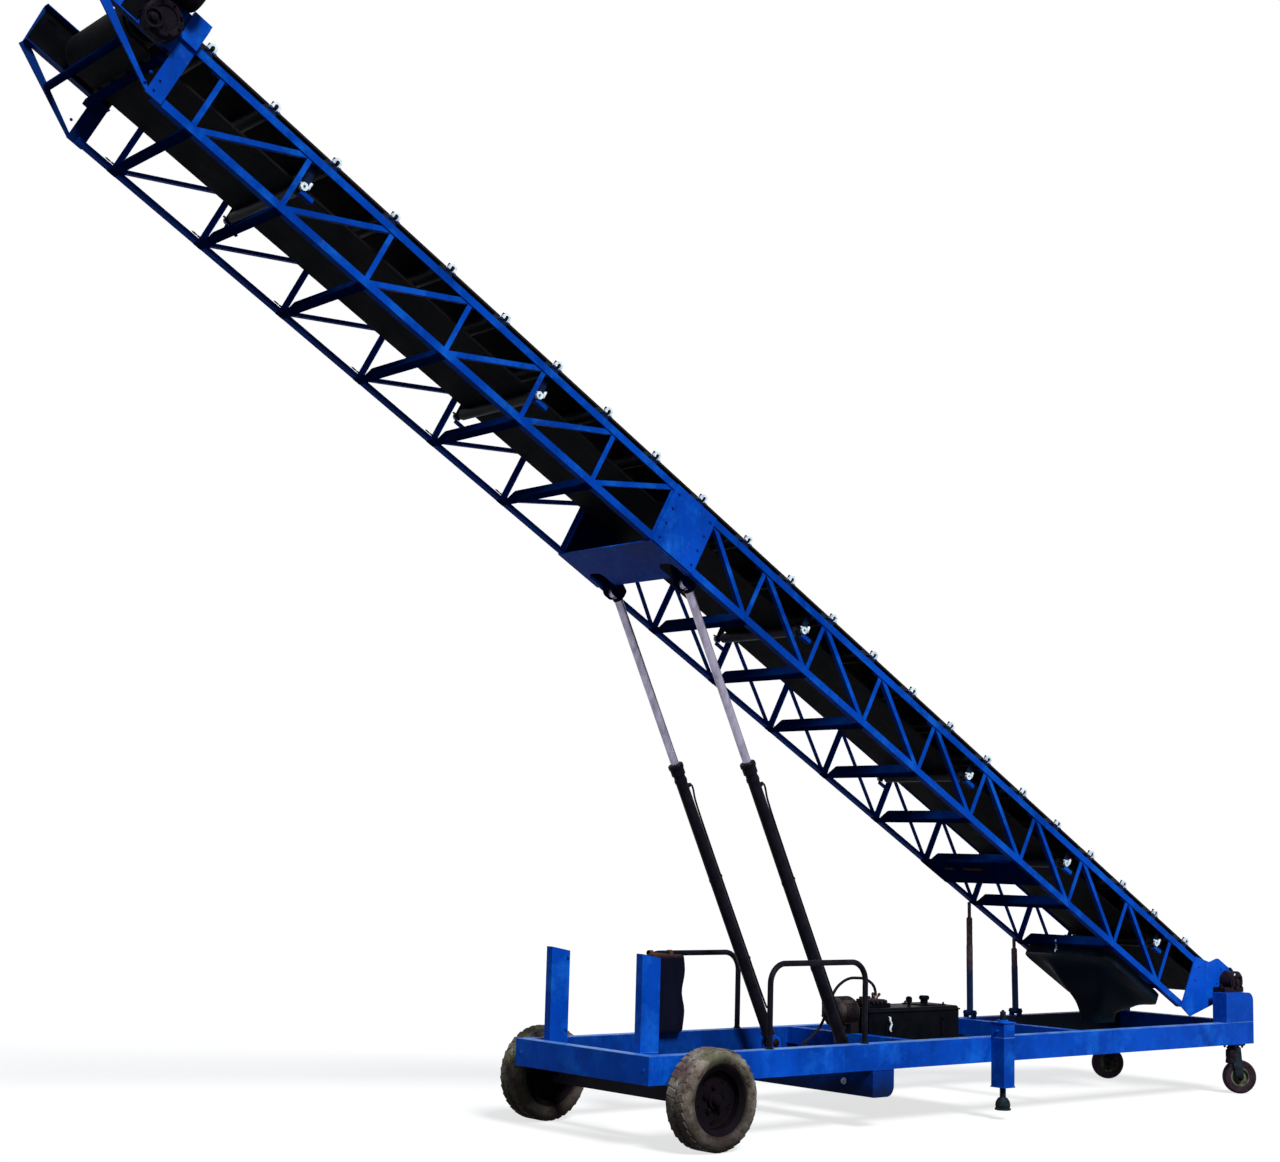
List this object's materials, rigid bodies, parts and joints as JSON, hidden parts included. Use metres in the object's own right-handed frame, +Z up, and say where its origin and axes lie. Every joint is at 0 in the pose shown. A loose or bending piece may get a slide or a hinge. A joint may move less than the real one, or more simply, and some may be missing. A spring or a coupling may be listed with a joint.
{
  "type": "stacker conveyor",
  "caption": "Inclined belt conveyor on a blue truss boom, hinged on a wheeled chassis and raised by two hydraulic cylinders, for stacking sacks and loose goods.",
  "frame": {"origin": "on the floor under the middle of the machine, boom raised", "axes": "+X towards the castor and feed end, +Y towards the side away from the jack, +Z up"},
  "size_m": [8.9875, 1.622, 5.589],
  "materials": {
    "belt_rubber": "matt black conveyor belt",
    "black_cover": "black cover over the starter box",
    "black_paint": "black paint",
    "blue_paint": "royal blue enamel, slightly worn",
    "cast_black": "black greasy bearing castings",
    "chrome_rod": "bright plated piston rod",
    "drum_rubber": "black lagged drums",
    "grey_steel": "dull zinc and worn steel",
    "hose_rubber": "black hydraulic hose",
    "motor_brown": "grey-brown dusty paint",
    "motor_dark": "dark oily paint on castings",
    "pan_dark": "dark navy sheet",
    "prop_paint": "blue sleeve with a rusty rod",
    "rim_dark": "dark dirty wheel paint",
    "roller_steel": "galvanised rollers and brackets",
    "tank_dark": "dark paint",
    "tyre": "dusty grey-brown worn tyres"
  },
  "bodies": {
    "boom": {"belt": "belt_rubber", "boom_chords_far": "blue_paint", "boom_chords_near": "blue_paint", "boom_web_far": "blue_paint", "boom_web_near": "blue_paint", "carrying_idlers": "roller_steel", "cross_ties": "blue_paint", "drive_gearbox": "motor_dark", "head_cheeks": "blue_paint", "head_drum": "drum_rubber", "lift_yoke": "blue_paint", "return_idlers": "roller_steel", "spill_pan": "pan_dark", "splice_plates": "blue_paint", "tail_drum": "drum_rubber", "tail_plates": "blue_paint"},
    "prop_front": {"boom_prop_front": "prop_paint"},
    "prop_rear": {"boom_prop_rear": "prop_paint"},
    "castor_swivel_far": {"castor_fork_far": "grey_steel"},
    "castor_swivel_near": {"castor_fork_near": "grey_steel"},
    "castor_wheel_far": {"castor_hub_far": "grey_steel", "castor_tyre_far": "tyre"},
    "castor_wheel_near": {"castor_hub_near": "grey_steel", "castor_tyre_near": "tyre"},
    "chassis": {"castor_plates": "grey_steel", "cross_member_front": "blue_paint", "cross_member_rear": "blue_paint", "front_axle": "black_paint", "front_beam": "blue_paint", "handle_hoop_far": "black_paint", "handle_hoop_near": "black_paint", "jack_sleeve": "blue_paint", "lift_beam": "blue_paint", "oil_tank": "tank_dark", "pack_tray": "pan_dark", "pressure_hose": "hose_rubber", "prop_feet": "blue_paint", "pump_motor": "motor_brown", "rest_post_far": "blue_paint", "rest_post_near": "blue_paint", "side_rail_far": "blue_paint", "side_rail_near": "blue_paint", "starter_box": "black_cover", "tail_beam": "blue_paint", "tail_bearing_far": "cast_black", "tail_bearing_near": "cast_black", "tail_stool_far": "blue_paint", "tail_stool_near": "blue_paint"},
    "barrel_far": {"cylinder_barrel_far": "black_paint"},
    "barrel_near": {"cylinder_barrel_near": "black_paint"},
    "rod_far": {"cylinder_rod_far": "chrome_rod"},
    "rod_near": {"cylinder_rod_near": "chrome_rod"},
    "wheel_far": {"front_rim_far": "rim_dark", "front_tyre_far": "tyre"},
    "wheel_near": {"front_rim_near": "rim_dark", "front_tyre_near": "tyre"},
    "jack": {"jack_screw": "grey_steel"}
  },
  "joints": [
    {"name": "wheel_spin_near", "type": "hinge", "parent": "chassis", "child": "wheel_near", "pos_m": [-0.82, -0.7185, 0.27], "axis": [0, 1, 0], "continuous": true},
    {"name": "castor_turn_near", "type": "hinge", "parent": "chassis", "child": "castor_swivel_near", "pos_m": [4.335, -0.51, 0.3], "axis": [0, 0, 1], "continuous": true},
    {"name": "castor_spin_near", "type": "hinge", "parent": "castor_swivel_near", "child": "castor_wheel_near", "pos_m": [4.36394, -0.53463, 0.115], "axis": [0.6481, 0.7615, 0], "continuous": true},
    {"name": "wheel_spin_far", "type": "hinge", "parent": "chassis", "child": "wheel_far", "pos_m": [-0.82, 0.7185, 0.27], "axis": [0, 1, 0], "continuous": true},
    {"name": "castor_turn_far", "type": "hinge", "parent": "chassis", "child": "castor_swivel_far", "pos_m": [4.335, 0.51, 0.3], "axis": [0, 0, 1], "continuous": true},
    {"name": "castor_spin_far", "type": "hinge", "parent": "castor_swivel_far", "child": "castor_wheel_far", "pos_m": [4.30606, 0.53463, 0.115], "axis": [0.6481, 0.7615, 0], "continuous": true},
    {"name": "jack_lift", "type": "slide", "parent": "chassis", "child": "jack", "axis": [0, 0, 1], "range_m": [-0.055, 0.058]},
    {"name": "boom_luff", "type": "hinge", "parent": "chassis", "child": "boom", "pos_m": [4.38, 0, 0.764], "axis": [0, 1, 0], "range_deg": [-21.45, 1.7]},
    {"name": "barrel_tilt_near", "type": "hinge", "parent": "chassis", "child": "barrel_near", "pos_m": [0.62, -0.31, 0.42], "axis": [0, 1, 0], "range_deg": [-44.68, 3.73]},
    {"name": "rod_slide_near", "type": "slide", "parent": "barrel_near", "child": "rod_near", "axis": [-0.4535, 0, 0.8913], "range_m": [-1.035, 0.0848]},
    {"name": "barrel_tilt_far", "type": "hinge", "parent": "chassis", "child": "barrel_far", "pos_m": [0.62, 0.31, 0.42], "axis": [0, 1, 0], "range_deg": [-44.68, 3.73]},
    {"name": "rod_slide_far", "type": "slide", "parent": "barrel_far", "child": "rod_far", "axis": [-0.4535, 0, 0.8913], "range_m": [-1.035, 0.0848]},
    {"name": "prop_fold_front", "type": "hinge", "parent": "chassis", "child": "prop_front", "pos_m": [2.734, 0.521, 0.52], "axis": [0, 1, 0], "range_deg": [-79, 0]},
    {"name": "prop_fold_rear", "type": "hinge", "parent": "chassis", "child": "prop_rear", "pos_m": [3.225, 0.521, 0.52], "axis": [0, -1, 0], "range_deg": [-102, 0]}
  ],
  "couplings": [
    {"joint": "barrel_tilt_near", "follows": "boom_luff", "ratio": 2.0738},
    {"joint": "rod_slide_near", "follows": "boom_luff", "m_per_rad": 2.7565},
    {"joint": "barrel_tilt_far", "follows": "boom_luff", "ratio": 2.0738},
    {"joint": "rod_slide_far", "follows": "boom_luff", "m_per_rad": 2.7565}
  ]
}
